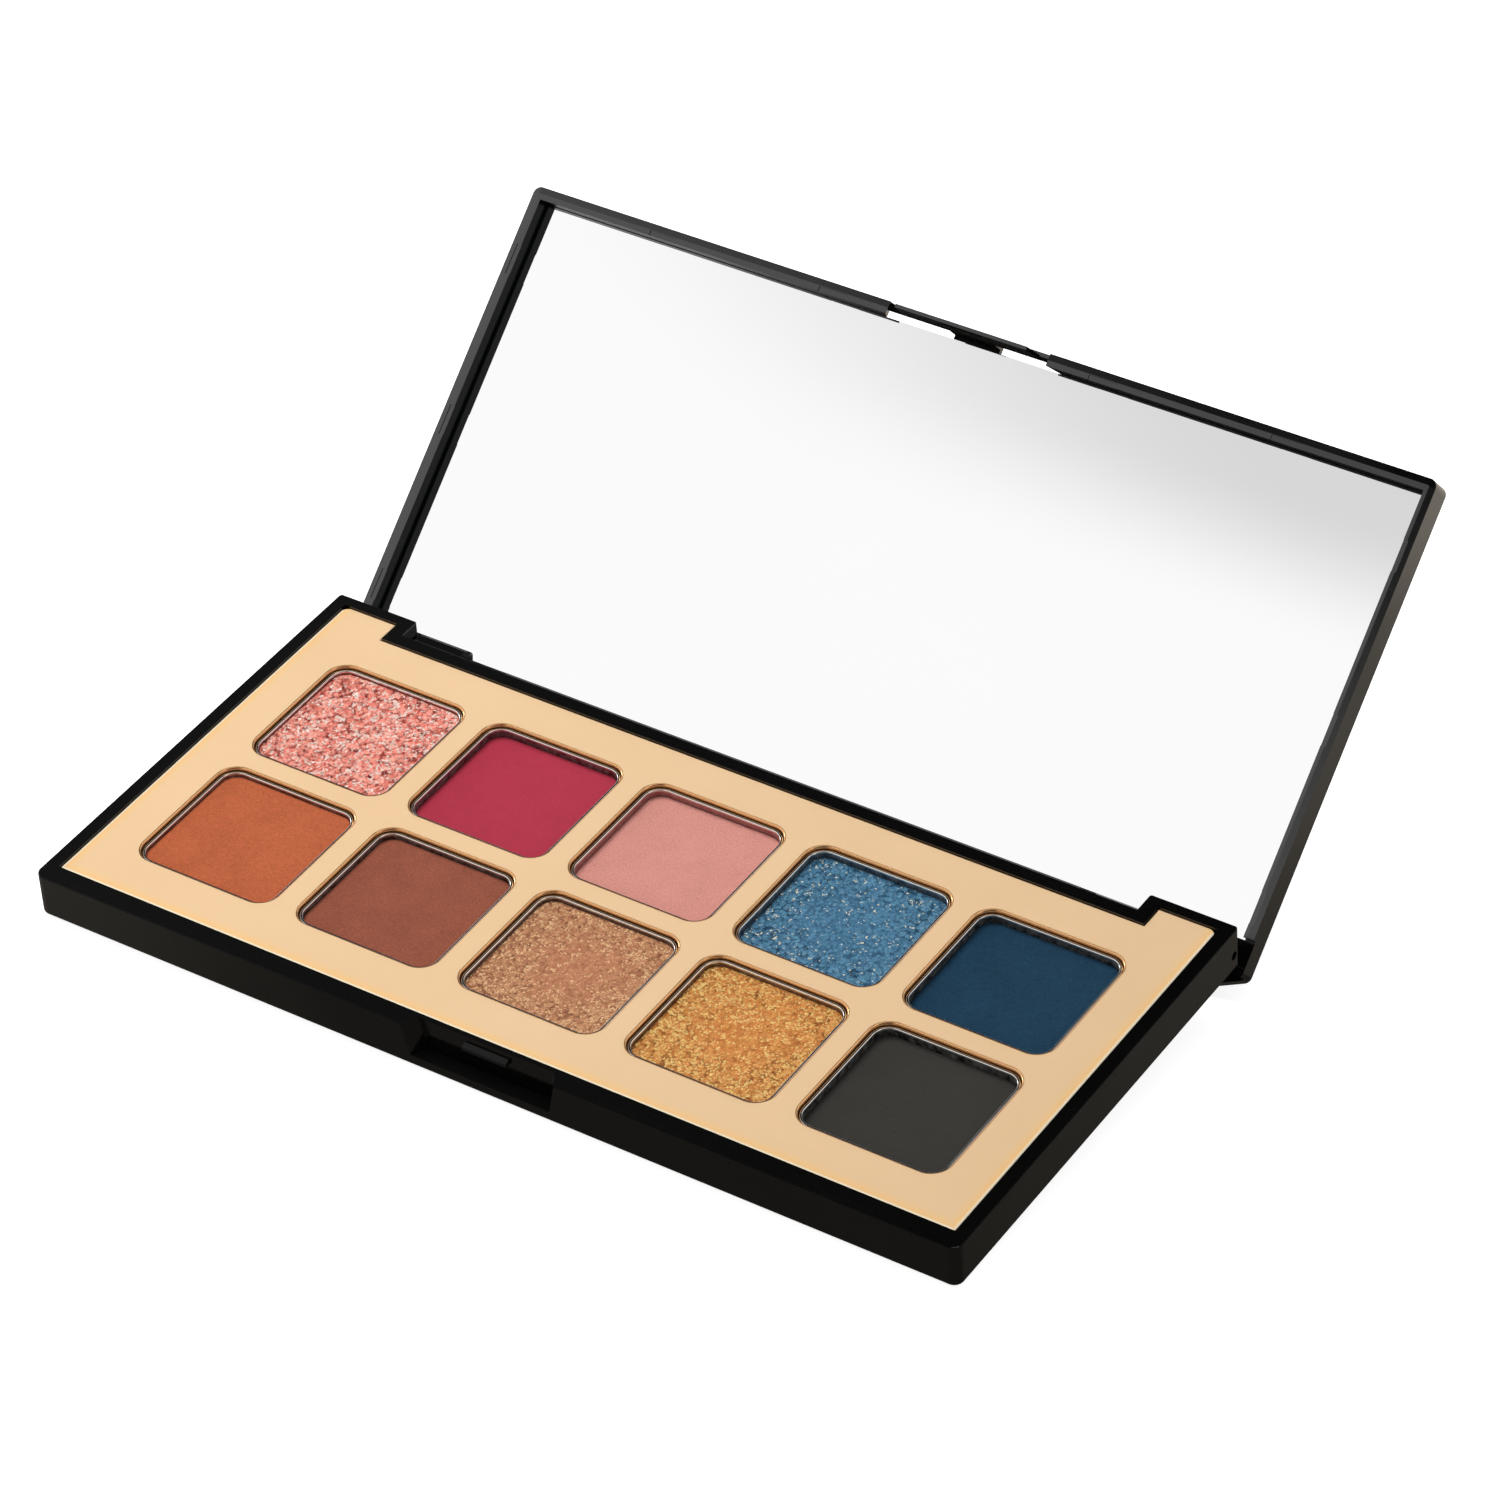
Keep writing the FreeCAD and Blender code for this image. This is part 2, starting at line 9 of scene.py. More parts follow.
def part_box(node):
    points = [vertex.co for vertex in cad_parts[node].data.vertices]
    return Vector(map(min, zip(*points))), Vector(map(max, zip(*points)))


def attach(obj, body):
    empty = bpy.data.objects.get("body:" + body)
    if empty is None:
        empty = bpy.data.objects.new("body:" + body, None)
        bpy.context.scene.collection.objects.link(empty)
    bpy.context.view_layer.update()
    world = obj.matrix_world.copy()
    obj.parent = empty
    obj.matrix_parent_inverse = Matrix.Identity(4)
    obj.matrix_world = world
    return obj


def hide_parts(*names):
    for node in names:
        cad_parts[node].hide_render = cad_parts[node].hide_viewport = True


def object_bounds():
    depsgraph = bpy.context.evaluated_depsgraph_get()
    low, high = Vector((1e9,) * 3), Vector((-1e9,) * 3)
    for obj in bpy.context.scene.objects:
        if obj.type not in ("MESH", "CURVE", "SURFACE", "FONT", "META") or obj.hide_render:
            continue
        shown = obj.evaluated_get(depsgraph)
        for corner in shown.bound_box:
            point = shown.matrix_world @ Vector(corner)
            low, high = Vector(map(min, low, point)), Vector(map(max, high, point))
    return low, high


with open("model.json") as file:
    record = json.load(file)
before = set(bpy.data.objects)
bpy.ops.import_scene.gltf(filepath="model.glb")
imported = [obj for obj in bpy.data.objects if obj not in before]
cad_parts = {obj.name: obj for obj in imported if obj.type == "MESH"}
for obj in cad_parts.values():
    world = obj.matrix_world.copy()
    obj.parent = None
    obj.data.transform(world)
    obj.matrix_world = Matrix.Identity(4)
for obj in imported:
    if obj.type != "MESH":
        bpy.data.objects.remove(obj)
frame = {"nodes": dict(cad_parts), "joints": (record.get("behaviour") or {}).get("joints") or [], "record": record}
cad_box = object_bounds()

MM = 0.001
nodes = frame["nodes"]
record = frame["record"]

# ---------------------------------------------------------------- the palette's own frame
# Everything on the base is laid out square to the base's underside, which leans a little in
# the stored pose. PALETTE takes (right, back, up) measured from the middle of that underside
# to the row frame.
underside = next(m for m in record["mounts"] if m["name"] == "base_underside")
up = -Vector(underside["axis"])
right = Vector((1.0, 0.0, 0.0))
back = up.cross(right)
PALETTE = Matrix((right, back, up)).transposed().to_4x4()
PALETTE.translation = Vector(underside["pos_m"])
ORIGIN = PALETTE.translation

# The mirror's middle, the direction up its face to the lid's free edge, and half its length.
mirror_low, mirror_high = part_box("mirror")
mirror_middle = (mirror_low + mirror_high) / 2
slope = Vector((0.0, mirror_high.y - mirror_low.y, mirror_high.z - mirror_low.z)).normalized()
mirror_half = (mirror_high - mirror_low).yz.length / 2


def local_box(node):
    """Lowest and highest corner of a CAD node in the palette's own frame, in metres."""
    inverse = PALETTE.inverted()
    co = np.array([inverse @ v.co for v in nodes[node].data.vertices])
    return co.min(0), co.max(0)


# ---------------------------------------------------------------- node helpers
def linear(r, g, b):
    """A colour given as 0-255 screen values, as linear light."""
    out = []
    for v in (r, g, b):
        v /= 255.0
        out.append(v / 12.92 if v <= 0.04045 else ((v + 0.055) / 1.055) ** 2.4)
    return (*out, 1.0)


class Nodes:
    """One material's node tree, with short calls for the nodes used here."""

    def __init__(self, name):
        self.material = bpy.data.materials.new(name)
        self.material.use_nodes = True
        self.tree = self.material.node_tree
        self.shader = self.tree.nodes["Principled BSDF"]
        self.coords = self.tree.nodes.new("ShaderNodeTexCoord").outputs["Object"]

    def link(self, a, b):
        self.tree.links.new(a, b)

    def put(self, value, socket):
        """Links a socket's value, or sets a plain one."""
        if isinstance(value, bpy.types.NodeSocket):
            self.link(value, socket)
        else:
            socket.default_value = value

    def set(self, **values):
        for key, value in values.items():
            self.shader.inputs[key.replace("_", " ")].default_value = value

    def feed(self, socket, value):
        self.link(value, self.shader.inputs[socket])

    def noise(self, scale, detail=2.0, rough=0.5, vector=None, distortion=0.0):
        n = self.tree.nodes.new("ShaderNodeTexNoise")
        n.inputs["Scale"].default_value = scale
        n.inputs["Detail"].default_value = detail
        n.inputs["Roughness"].default_value = rough
        n.inputs["Distortion"].default_value = distortion
        self.link(vector or self.coords, n.inputs["Vector"])
        return n.outputs["Fac"]

    def cells(self, scale):
        n = self.tree.nodes.new("ShaderNodeTexVoronoi")
        n.inputs["Scale"].default_value = scale
        self.link(self.coords, n.inputs["Vector"])
        return n

    def stretched(self, x, y, z):
        n = self.tree.nodes.new("ShaderNodeMapping")
        n.inputs["Scale"].default_value = (x, y, z)
        self.link(self.coords, n.inputs["Vector"])
        return n.outputs["Vector"]

    def math(self, operation, a, b=None, clamp=False):
        n = self.tree.nodes.new("ShaderNodeMath")
        n.operation = operation
        n.use_clamp = clamp
        self.put(a, n.inputs[0])
        if b is not None:
            self.put(b, n.inputs[1])
        return n.outputs[0]

    def plus(self, a, b, clamp=False):
        return self.math("ADD", a, b, clamp)

    def minus(self, a, b):
        return self.math("SUBTRACT", a, b)

    def times(self, a, b):
        return self.math("MULTIPLY", a, b)

    def highest(self, a, b):
        return self.math("MAXIMUM", a, b)

    def size(self, a):
        return self.math("ABSOLUTE", a)

    def length(self, a, b):
        return self.math("SQRT", self.plus(self.times(a, a), self.times(b, b)))

    def vector_math(self, operation, a, b=None, scale=None):
        n = self.tree.nodes.new("ShaderNodeVectorMath")
        n.operation = operation
        self.put(a, n.inputs[0])
        if b is not None:
            self.put(b, n.inputs[1])
        if scale is not None:
            self.put(scale, n.inputs["Scale"])
        return n.outputs["Value"] if operation == "DOT_PRODUCT" else n.outputs["Vector"]

    def along(self, direction, point):
        """How far a place is from the point along the direction. Both are in the row frame."""
        away = self.vector_math("SUBTRACT", self.coords, point)
        return self.vector_math("DOT_PRODUCT", away, direction)

    def span(self, value, from_low, from_high, to_low=0.0, to_high=1.0, smooth=False):
        """Takes from_low..from_high to to_low..to_high, and holds the ends outside it."""
        n = self.tree.nodes.new("ShaderNodeMapRange")
        n.interpolation_type = "SMOOTHSTEP" if smooth else "LINEAR"
        n.inputs["From Min"].default_value = from_low
        n.inputs["From Max"].default_value = from_high
        n.inputs["To Min"].default_value = to_low
        n.inputs["To Max"].default_value = to_high
        self.link(value, n.inputs["Value"])
        return n.outputs["Result"]

    def blend(self, factor, a, b):
        n = self.tree.nodes.new("ShaderNodeMix")
        n.data_type = "RGBA"
        for key, kind, value in (("Factor", "VALUE", factor), ("A", "RGBA", a), ("B", "RGBA", b)):
            self.put(value, next(s for s in n.inputs if s.name == key and s.type == kind))
        return next(s for s in n.outputs if s.type == "RGBA")

    def bump(self, height, distance, strength):
        n = self.tree.nodes.new("ShaderNodeBump")
        n.inputs["Distance"].default_value = distance
        n.inputs["Strength"].default_value = strength
        self.link(height, n.inputs["Height"])
        return n.outputs["Normal"]

    def channel(self, vector, axis):
        n = self.tree.nodes.new("ShaderNodeSeparateXYZ")
        self.link(vector, n.inputs[0])
        return n.outputs[axis]

    def surface_normal(self):
        return self.tree.nodes.new("ShaderNodeNewGeometry").outputs["Normal"]


def use(material, *names):
    """Makes a material the only one of some CAD nodes."""
    for name in names:
        slots = nodes[name].data.materials
        slots.clear()
        slots.append(material)


def use_on_faces(material, name, chosen):
    """Gives a CAD node a second material, on the chosen faces."""
    mesh = nodes[name].data
    mesh.materials.append(material)
    for face in mesh.polygons:
        if chosen(face):
            face.material_index = 1


# ---------------------------------------------------------------- hard materials
def black_plastic(name, shine, worn=False):
    """Black moulded plastic. Where it is worn it has no gloss, most of all towards the right."""
    m = Nodes(name)
    m.set(Specular_IOR_Level=shine, IOR=1.5)
    broad = m.noise(38.0, 3.0, 0.55)
    m.feed("Base Color", m.blend(broad, (0.0006, 0.0006, 0.0006, 1), (0.0012, 0.0012, 0.0011, 1)))
    # Handling marks: long fine hairlines in two directions, only in the gloss.
    hair_a = m.noise(1.0, 2.0, 0.6, m.stretched(90.0, 2600.0, 2600.0))
    hair_b = m.noise(1.0, 2.0, 0.6, m.stretched(2400.0, 130.0, 900.0))
    hair = m.highest(m.span(hair_a, 0.66, 0.80), m.span(hair_b, 0.68, 0.82))
    rough = m.plus(m.span(broad, 0.3, 0.7, 0.085, 0.15), m.times(hair, 0.10))
    if worn:
        wear = m.span(m.channel(m.coords, 0), -50 * MM, 10 * MM, 0.24, 0.80, smooth=True)
        rough = m.plus(rough, wear, clamp=True)
    m.feed("Roughness", rough)
    ripple = m.noise(210.0, 2.0, 0.5)
    m.feed("Normal", m.bump(ripple, 0.02 * MM, 0.25))
    return m.material


def worn_in_base():
    """Tells the base's worn faces: its rounded top edge, at the front and the sides, and the
    floor of the thumb recess."""
    lo, hi = (v / MM for v in local_box("base_shell"))
    inverse = PALETTE.inverted()
    edge_width = 0.2
    ears_depth = 7
    recess_depth = 3
    recess_drop = 1.9       # the recess's floor is at least this far below the base's top
    floor_low = 1

    def worn(face):
        x, y, z = (inverse @ face.center) / MM
        rise = face.normal.dot(up)
        outermost = abs(x) > hi[0] - edge_width or y < lo[1] + edge_width
        rounded = z > hi[2] - edge_width and 0.03 < rise < 0.999
        on_edge = outermost and rounded and y < hi[1] - ears_depth
        at_recess = y < lo[1] + recess_depth and lo[2] + floor_low < z < hi[2] - recess_drop
        return on_edge or (at_recess and rise > 0.9)
    return worn


def worn_in_lid(face):
    """Tells the lid's worn faces: the inner wall of its free edge, where the mirror goes in."""
    past_mirror = (face.center - mirror_middle).dot(slope) > mirror_half - 1.5 * MM
    return past_mirror and face.normal.dot(slope) < -0.7


def opening_edge(m, across, along):
    """1 on the punched edge of each of the plate's openings, and 0 on the rest of the plate.

    The openings repeat evenly, so the distance from the nearest one is folded into a single
    rounded rectangle."""
    first_low, first_high = local_box("pan_01")
    pan_gap = 0.2 * MM
    corner_r = 3.0 * MM
    around = 0.8 * MM
    pitch_x = local_box("pan_02")[0][0] - first_low[0]
    pitch_y = first_low[1] - local_box("pan_06")[0][1]
    back_row = (first_low[1] + first_high[1]) / 2
    straight_x = (first_high[0] - first_low[0]) / 2 + pan_gap - corner_r
    straight_y = (first_high[1] - first_low[1]) / 2 + pan_gap - corner_r
    in_column = m.math("PINGPONG", across, pitch_x / 2)
    in_row = m.math("PINGPONG", m.minus(along, back_row), pitch_y / 2)
    past_x = m.highest(m.minus(in_column, straight_x), 0.0)
    past_y = m.highest(m.minus(in_row, straight_y), 0.0)
    ring = m.span(m.length(past_x, past_y), corner_r + 0.34 * MM, corner_r + 0.22 * MM)
    # The fold goes on past the outer openings, where there are none.
    grid_x = abs(first_low[0]) + around
    grid_y = pitch_y / 2 + straight_y + corner_r + around
    from_middle = m.size(m.minus(along, back_row - pitch_y / 2))
    on_grid = m.times(m.math("LESS_THAN", across, grid_x), m.math("LESS_THAN", from_middle, grid_y))
    return m.times(ring, on_grid)


def champagne():
    """Satin gold plating, a deeper orange along the plate's outer border, with a painted highlight along its own
    edge. The punched edges of the openings are a deeper orange, more metallic and smoother."""
    m = Nodes("champagne_plate")
    across = m.size(m.along(right, ORIGIN))
    along = m.along(back, ORIGIN)
    lo, hi = local_box("insert_plate")
    side = m.span(across, hi[0] - 1.9 * MM, hi[0] - 0.6 * MM, smooth=True)
    front = m.span(along, lo[1] + 2.0 * MM, lo[1] + 0.7 * MM, smooth=True)
    border = m.highest(side, front)
    cloud = m.noise(60.0, 3.0, 0.6)
    fine = m.noise(5200.0, 2.0, 0.6)
    plain = m.blend(cloud, (0.84, 0.575, 0.325, 1), (0.88, 0.615, 0.365, 1))
    deep = m.blend(cloud, (0.90, 0.57, 0.25, 1), (0.92, 0.60, 0.28, 1))
    colour = m.blend(border, plain, deep)
    # Painted highlight: a thin bright line along the plate's own edge, standing in for the light its rounded edge
    # catches.
    side_highlight = m.span(across, hi[0] - 0.50 * MM, hi[0] - 0.30 * MM)
    front_highlight = m.span(along, lo[1] + 0.50 * MM, lo[1] + 0.30 * MM)
    painted_highlight = m.times(m.highest(side_highlight, front_highlight), 0.85)
    colour = m.blend(painted_highlight, colour, (0.97, 0.86, 0.68, 1))
    ring = opening_edge(m, across, along)
    m.feed("Base Color", m.blend(ring, colour, (0.86, 0.47, 0.21, 1)))
    m.feed("Metallic", m.plus(m.times(ring, 0.5), 0.4))
    satin = m.plus(m.span(cloud, 0.3, 0.7, 0.42, 0.47), m.span(fine, 0.3, 0.7, -0.03, 0.03))
    m.feed("Roughness", m.minus(satin, m.times(ring, 0.20)))
    m.feed("Normal", m.bump(fine, 0.004 * MM, 0.35))
    return m.material


def tin(name, pan, dust_and_shade_colour):
    """A drawn tin pan. Inside the wall, below the rim, it takes a darker tone of its powder: partly dust, partly
    painted shade and painted reflection of the powder.
    """
    m = Nodes(name)
    drawn = m.noise(1.0, 3.0, 0.6, m.stretched(300.0, 300.0, 9000.0))
    cloud = m.noise(500.0, 2.0, 0.5)
    lo, hi = local_box(pan)
    outward = m.along(m.surface_normal(), PALETTE @ Vector((lo + hi) / 2))
    inside = m.span(outward, -0.5 * MM, -2.0 * MM)
    from_rim = m.along(up, PALETTE @ Vector((0.0, 0.0, hi[2])))
    inside = m.times(inside, m.span(from_rim, -0.18 * MM, -0.32 * MM))
    patches = m.noise(900.0, 4.0, 0.65)
    # Dust with painted shade and painted reflection: the inside of the wall is blended to a darker tone of the
    # powder.
    dust_and_shade = m.times(inside, m.span(patches, 0.30, 0.62, 0.80, 1.0))
    metal = m.blend(cloud, (0.84, 0.82, 0.79, 1), (0.92, 0.90, 0.87, 1))
    m.feed("Base Color", m.blend(dust_and_shade, metal, linear(*dust_and_shade_colour)))
    m.feed("Metallic", m.minus(1.0, m.times(dust_and_shade, 0.85)))
    m.feed("Roughness", m.plus(m.span(drawn, 0.3, 0.7, 0.06, 0.12), m.times(dust_and_shade, 0.45)))
    m.feed("Normal", m.bump(drawn, 0.006 * MM, 0.4))
    return m.material


def steel():
    """Drawn wire."""
    m = Nodes("steel_pin")
    m.set(Metallic=1.0)
    drawn = m.noise(1.0, 3.0, 0.6, m.stretched(200.0, 9000.0, 9000.0))
    m.feed("Base Color", m.blend(drawn, (0.50, 0.49, 0.47, 1), (0.66, 0.65, 0.63, 1)))
    m.feed("Roughness", m.span(drawn, 0.3, 0.7, 0.2, 0.36))
    m.feed("Normal", m.bump(drawn, 0.01 * MM, 0.5))
    return m.material


def mirror_glass():
    """Silvered glass: a clean face, and darker, greener ground edges."""
    m = Nodes("mirror_glass")
    m.set(Metallic=1.0, IOR=1.52)
    hinge = next(j for j in frame["joints"] if j["name"] == "lid_hinge")
    face = Vector(hinge["axis"]).cross(slope)
    facing = m.size(m.vector_math("DOT_PRODUCT", m.surface_normal(), tuple(face)))
    on_face = m.span(facing, 0.75, 0.95)
    # A strip of the face along each ground side takes the ground edges' dark colour.
    across = m.size(m.along(right, mirror_middle))
    half_width = (mirror_high.x - mirror_low.x) / 2
    away_from_sides = m.span(across, half_width - 0.25 * MM, half_width - 0.35 * MM)
    on_face = m.times(on_face, away_from_sides)
    film = m.noise(22.0, 3.0, 0.6)
    clean = m.blend(film, (0.915, 0.920, 0.918, 1), (0.935, 0.938, 0.936, 1))
    m.feed("Base Color", m.blend(on_face, (0.10, 0.16, 0.14, 1), clean))
    smear = m.noise(9.0, 4.0, 0.7, distortion=0.6)
    polish = m.span(smear, 0.45, 0.75, 0.004, 0.022)
    m.feed("Roughness", m.plus(polish, m.span(facing, 0.95, 0.75, 0.0, 0.35)))
    return m.material


def glue():
    """Set drops of amber glue."""
    m = Nodes("glue")
    m.set(Specular_IOR_Level=0.5)
    blobs = m.noise(900.0, 2.0, 0.5)
    m.feed("Base Color", m.blend(blobs, (0.72, 0.66, 0.50, 1), (0.82, 0.77, 0.62, 1)))
    m.feed("Roughness", m.span(blobs, 0.3, 0.7, 0.25, 0.45))
    m.feed("Normal", m.bump(blobs, 0.03 * MM, 0.5))
    return m.material


def foam_tape():
    """Fine-celled foam."""
    m = Nodes("tape")
    m.set(Specular_IOR_Level=0.3)
    foam = m.cells(4200.0).outputs["Distance"]
    m.feed("Base Color", m.blend(foam, (0.50, 0.50, 0.49, 1), (0.72, 0.72, 0.70, 1)))
    m.feed("Roughness", m.span(foam, 0.0, 1.0, 0.75, 0.95))
    m.feed("Normal", m.bump(foam, 0.06 * MM, 0.8))
    return m.material


use(black_plastic("black_shell", 1.0), "base_shell", "lid_shell")
worn_black = black_plastic("black_worn", 0.15, worn=True)
use_on_faces(worn_black, "base_shell", worn_in_base())
use_on_faces(worn_black, "lid_shell", worn_in_lid)
use(champagne(), "insert_plate")
use(glue(), "pan_glue")
use(steel(), "hinge_pin_left", "hinge_pin_right")
use(mirror_glass(), "mirror")
use(foam_tape(), "mirror_tape")


# ---------------------------------------------------------------- pressed powders
# The cakes' own lengths are in millimetres.
LATTICE_HALF = 15           # half of the square that the smooth noise covers
FLAKES_HALF = 16            # and of the square that the flakes cover
CAKE_CORNER_R = 2.38
CAKE_GAP = 0.02             # between the cake and the CAD powder's sides and bottom
SHOULDER = 0.22             # width of the rounding along the cake's top edge
SHOULDER_DROP = 0.16
FADE = 0.30                 # from this far in to the edge the relief fades to a quarter
PROUD = 0.12                # the most that a flake stands above the CAD powder
SKIRT = 0.45                # the side's first ring is this far below the top's edge


def lattice_noise(x, y, size, rng):
    """Smooth noise from -1 to 1 with that feature size. x and y are arrays."""
    n = int(2 * LATTICE_HALF / size) + 4
    table = rng.uniform(-1, 1, (n, n))
    gx = (x + LATTICE_HALF) / size
    gy = (y + LATTICE_HALF) / size
    i = np.floor(gx).astype(int)
    j = np.floor(gy).astype(int)
    fx = gx - i
    fy = gy - j
    fx = fx * fx * (3 - 2 * fx)
    fy = fy * fy * (3 - 2 * fy)
    i %= n - 1
    j %= n - 1
    low = table[i, j] * (1 - fx) + table[i + 1, j] * fx
    high = table[i, j + 1] * (1 - fx) + table[i + 1, j + 1] * fx
    return low * (1 - fy) + high * fy


def flakes(x, y, size, lean, step, rng, stretch):
    """Height of a bed of flat flakes: each is a little plane at its own lean and level."""
    n = int(2 * FLAKES_HALF / size) + 6
    ox = rng.uniform(0.05, 0.95, (n, n))
    oy = rng.uniform(0.05, 0.95, (n, n))
    level = rng.uniform(-1, 1, (n, n)) * step
    way = rng.uniform(0, 2 * math.pi, (n, n))
    tilt = lean * np.sqrt(rng.uniform(0, 1, (n, n)))
    turn = rng.uniform(0, math.pi, (n, n))
    gx = (x + FLAKES_HALF) / size
    gy = (y + FLAKES_HALF) / size
    ci = np.floor(gx).astype(int)
    cj = np.floor(gy).astype(int)
    nearest = np.full(x.shape, 1e9)
    height = np.zeros(x.shape)
    for di in (-1, 0, 1):
        for dj in (-1, 0, 1):
            i = np.clip(ci + di, 0, n - 1)
            j = np.clip(cj + dj, 0, n - 1)
            dx = gx - (i + ox[i, j])
            dy = gy - (j + oy[i, j])
            c = np.cos(turn[i, j])
            s = np.sin(turn[i, j])
            long_way = (dx * c + dy * s) / stretch
            short_way = -dx * s + dy * c
            distance = long_way * long_way + short_way * short_way
            nearer = distance < nearest
            nearest = np.where(nearer, distance, nearest)
            fall = np.tan(tilt[i, j])
            own = level[i, j] + fall * size * (dx * np.cos(way[i, j]) + dy * np.sin(way[i, j]))
            height = np.where(nearer, own, height)
    return height


def rounded_grid(half_w, half_d, pitch):
    """Grid of places over a rounded rectangle, and each one's distance in from its edge."""
    r = CAKE_CORNER_R
    nx = int(round(2 * half_w / pitch))
    ny = int(round(2 * half_d / pitch))
    columns = np.linspace(-half_w, half_w, nx + 1)
    rows = np.linspace(-half_d, half_d, ny + 1)
    gx, gy = np.meshgrid(columns, rows, indexing="ij")
    # Squeeze each corner square of the grid into the corner's quarter circle.
    a = np.maximum(np.abs(gx) - (half_w - r), 0)
    b = np.maximum(np.abs(gy) - (half_d - r), 0)
    both = (a > 0) & (b > 0)
    pull = np.where(both, np.maximum(a, b) / np.maximum(np.hypot(a, b), 1e-9), 1.0)
    x = np.where(a > 0, np.sign(gx) * (half_w - r + a * pull), gx)
    y = np.where(b > 0, np.sign(gy) * (half_d - r + b * pull), gy)
    ax = np.maximum(np.abs(x) - (half_w - r), 0)
    ay = np.maximum(np.abs(y) - (half_d - r), 0)
    inner = np.minimum(half_w - np.abs(x), half_d - np.abs(y))
    edge = np.where((ax > 0) & (ay > 0), r - np.hypot(ax, ay), inner)
    return x, y, np.maximum(edge, 0)


def cake(name, node, height_of, pitch, crown, drop, seed):
    """A pressed cake as one closed mesh. Its top is a fine grid with height_of added, and its
    sides and bottom are just inside the CAD powder that it replaces."""
    lo, hi = (v / MM for v in local_box(node))
    w = (hi[0] - lo[0]) / 2 - CAKE_GAP
    d = (hi[1] - lo[1]) / 2 - CAKE_GAP
    cx = (hi[0] + lo[0]) / 2
    cy = (hi[1] + lo[1]) / 2
    bottom = lo[2] + CAKE_GAP
    x, y, edge = rounded_grid(w, d, pitch)
    relief = height_of(x, y, edge, np.random.default_rng(seed))
    dome = crown * (1 - 0.5 * ((x / w) ** 4 + (y / d) ** 4))
    t = np.clip(edge / SHOULDER, 0, 1)
    roll = SHOULDER_DROP * (1 - np.sqrt(np.maximum(1 - (1 - t) ** 2, 0)))
    fade = np.clip(edge / FADE, 0.25, 1)
    z = hi[2] - drop - crown + dome - roll + relief * fade
    z = np.minimum(z, hi[2] + PROUD)
    top = np.stack([x + cx, y + cy, z], -1).reshape(-1, 3)
    index = np.arange(x.size).reshape(x.shape)
    squares = [index[:-1, :-1], index[1:, :-1], index[1:, 1:], index[:-1, 1:]]
    quads = [np.stack(squares, -1).reshape(-1, 4)]
    # The sides go down from the grid's outline in two steps, and a fan closes the bottom.
    loop = np.concatenate([index[:-1, 0], index[-1, :-1], index[:0:-1, -1], index[0, :0:-1]])
    verts = [top]
    ring = loop
    count = len(top)
    for level in (hi[2] - drop - SKIRT, bottom):
        low = top[loop].copy()
        low[:, 2] = level
        verts.append(low)
        lower_ring = np.arange(count, count + len(loop))
        count += len(loop)
        quads.append(np.stack([ring, lower_ring, np.roll(lower_ring, -1), np.roll(ring, -1)], -1))
        ring = lower_ring
    verts.append(np.array([[cx, cy, bottom]]))
    fan = np.stack([ring, np.full(len(ring), count), np.roll(ring, -1)], -1)
    mesh = bpy.data.meshes.new(name)
    co = np.concatenate(verts) * MM
    mesh.from_pydata(co.tolist(), [], np.concatenate(quads).tolist() + fan.tolist())
    mesh.validate()
    mesh.update()
    piece = bpy.data.objects.new(name, mesh)
    bpy.context.scene.collection.objects.link(piece)
    piece.matrix_world = PALETTE
    return piece


def matte_relief(grain, uneven, dents=0, dent_depth=0.05):
    """Fine grain over a slightly uneven top, with pinholes and crumbled spots at the edge."""
    def height(x, y, edge, rng):
        h = grain * lattice_noise(x, y, 0.35, rng) + 0.6 * grain * lattice_noise(x, y, 0.22, rng)
        h += uneven * lattice_noise(x, y, 3.1, rng) + 0.5 * uneven * lattice_noise(x, y, 1.4, rng)
        for _ in range(dents):
            px, py = rng.uniform(-9, 9, 2)
            size = rng.uniform(0.16, 0.34)
            h -= dent_depth * np.exp(-((x - px) ** 2 + (y - py) ** 2) / size ** 2)
        rim = np.exp(-edge / 0.35)
        h -= 0.10 * rim * np.maximum(lattice_noise(x, y, 0.9, rng) - 0.25, 0)
        return h
    return height


def foil_relief(size, lean, step, calm, uneven=0.02, stretch=1.5):
    """Flakes, lying flatter in the middle of the cake where the press has smoothed them."""
    def height(x, y, edge, rng):
        h = flakes(x, y, size, lean, step, rng, stretch)
        h += 0.45 * flakes(x, y, size * 0.55, lean, step, rng, stretch)
        rough = 1 - calm * np.exp(-((x - 0.8) ** 2 + (y + 0.6) ** 2) / 5.2 ** 2)
        rough *= 0.85 + 0.15 * lattice_noise(x, y, 2.2, rng)
        return h * rough + uneven * lattice_noise(x, y, 2.6, rng)
    return height


def matte_powder(name, colour, dark=0.84, light=1.13):
    """Matte powder: fine specks from dark to light times the colour, and a faint cloud."""
    m = Nodes(name)
    m.set(Specular_IOR_Level=0.12, Sheen_Weight=0.04, Sheen_Roughness=0.5)
    base = linear(*colour)[:3]
    low = (*(c * dark for c in base), 1.0)
    high = (*(min(c * light, 1.0) for c in base), 1.0)
    cloud = m.noise(230.0, 4.0, 0.62)
    speck = m.noise(3600.0, 3.0, 0.75)
    tone = m.plus(m.span(cloud, 0.3, 0.7, 0.0, 0.22), m.span(speck, 0.3, 0.7, 0.0, 0.78))
    m.feed("Base Color", m.blend(tone, low, high))
    m.feed("Roughness", m.span(speck, 0.3, 0.7, 0.78, 0.95))
    m.feed("Normal", m.bump(speck, 0.03 * MM, 0.5))
    return m.material


